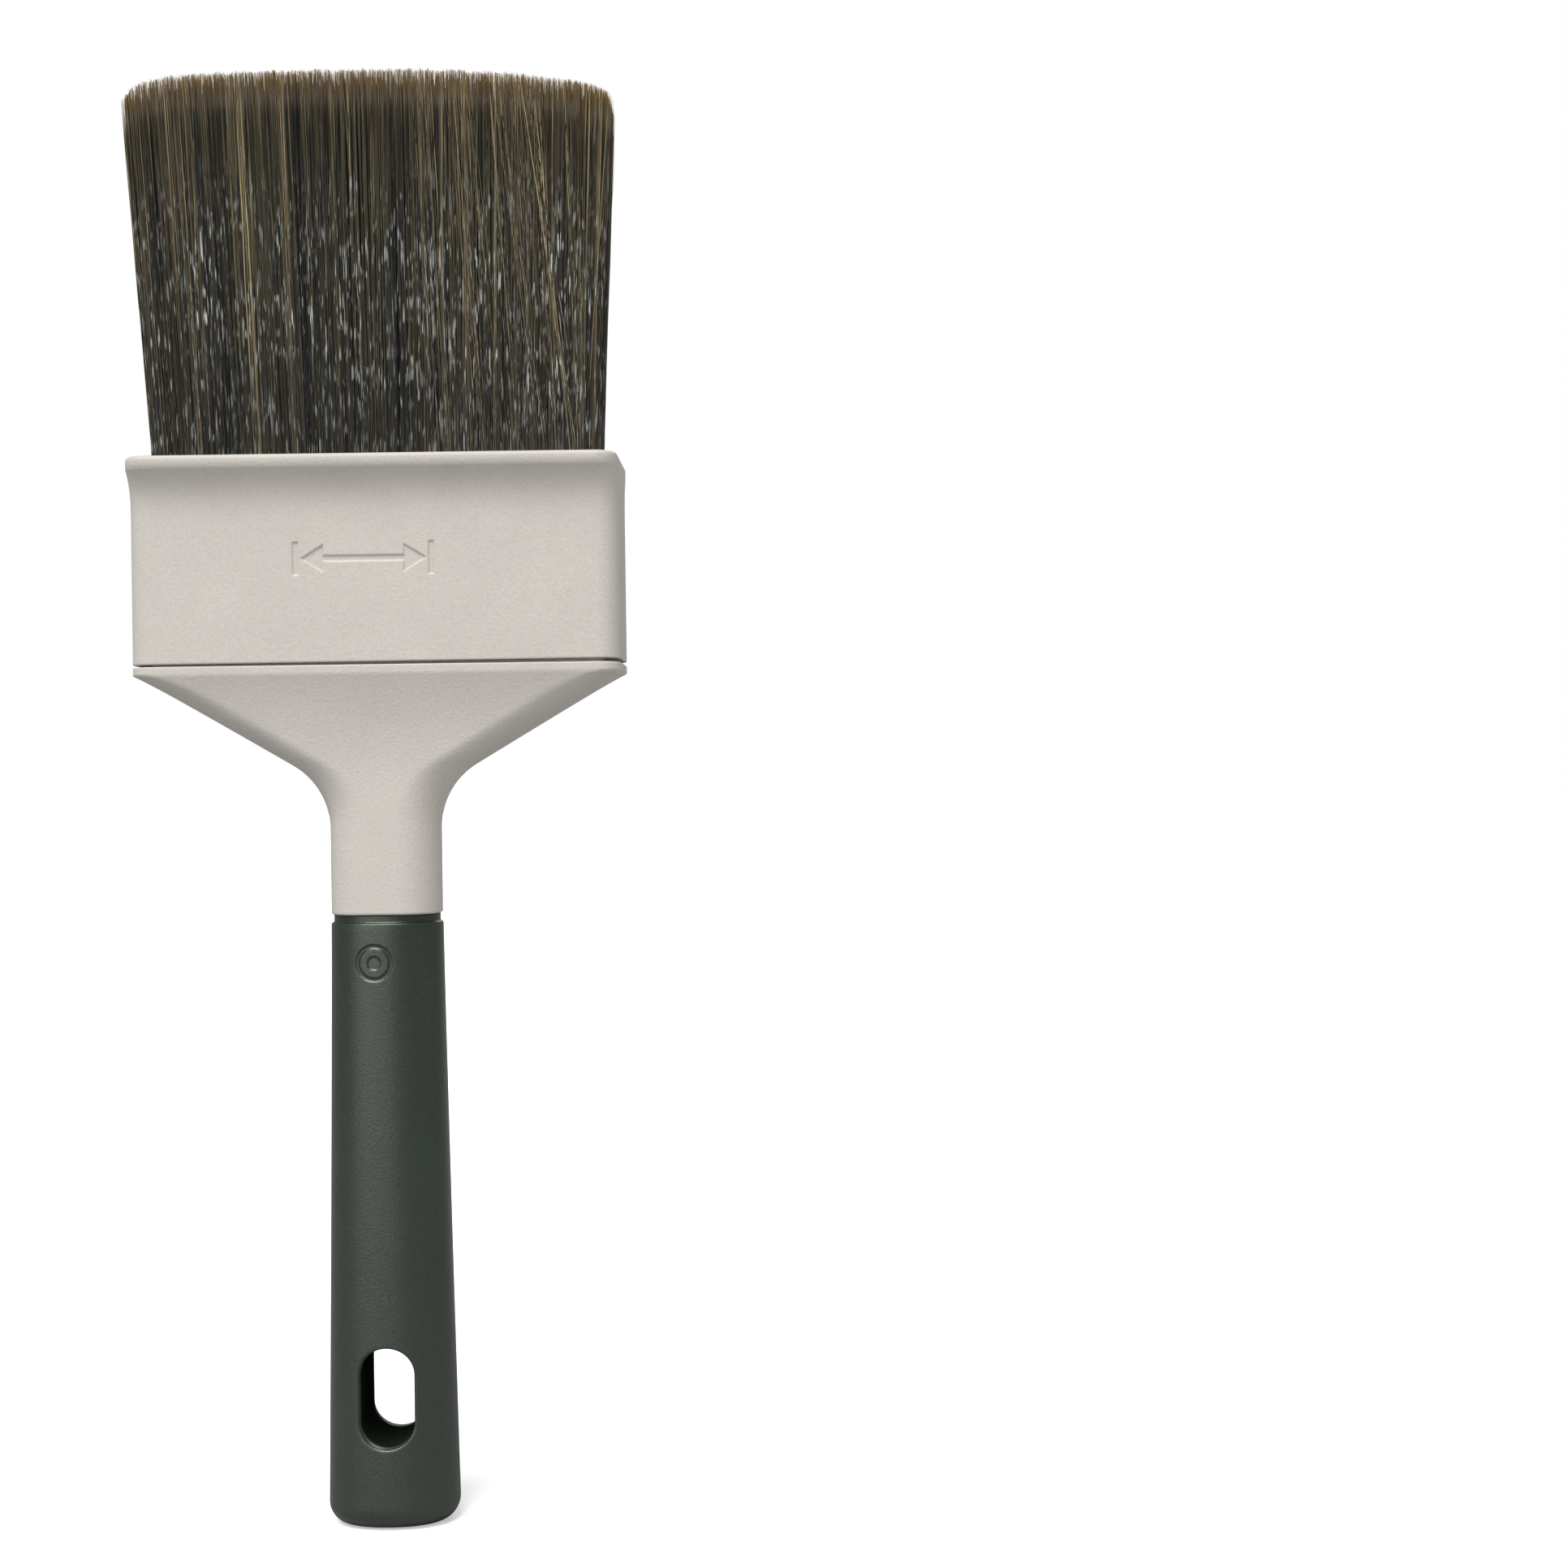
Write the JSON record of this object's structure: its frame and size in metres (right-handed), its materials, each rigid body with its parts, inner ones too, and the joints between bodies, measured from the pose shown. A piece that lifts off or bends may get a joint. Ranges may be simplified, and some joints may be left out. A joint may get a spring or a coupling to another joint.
{
  "type": "flat paint brush",
  "caption": "Flat paint brush: light plastic ferrule with a flared drip lip, sloped shoulder, oval soft grip with a hang slot, and springy synthetic filaments.",
  "frame": {"origin": "centre of the flat butt face of the grip", "axes": "+Z along the brush from the butt to the filament tips, X across its width, -Y out of the front wide face"},
  "size_m": [0.0874, 0.0278, 0.263],
  "materials": {
    "shell": "matte light warm grey, very fine moulded texture",
    "grip": "satin soft-touch dark grey green",
    "filament": "mixed charcoal, brown and golden synthetic filament with pale flagged tips",
    "resin": "cured amber resin",
    "plug": "plain moulded strip"
  },
  "bodies": {
    "brush_body": {"grip": "grip", "handle_core": "shell", "ferrule": "shell", "epoxy_setting": "resin", "spacer_plug_front": "plug", "spacer_plug_rear": "plug", "filament_roots_front": "filament", "filament_roots_middle": "filament", "filament_roots_rear": "filament"},
    "filament_head": {"filaments_front": "filament", "filaments_middle": "filament", "filaments_rear": "filament"}
  },
  "joints": [
    {"name": "filament_flex", "type": "hinge", "parent": "brush_body", "child": "filament_head", "pos_m": [0, 0, 0.1914], "axis": [1, 0, 0], "range_deg": [-40, 40], "stiffness_Nm_per_rad": 0.5}
  ]
}
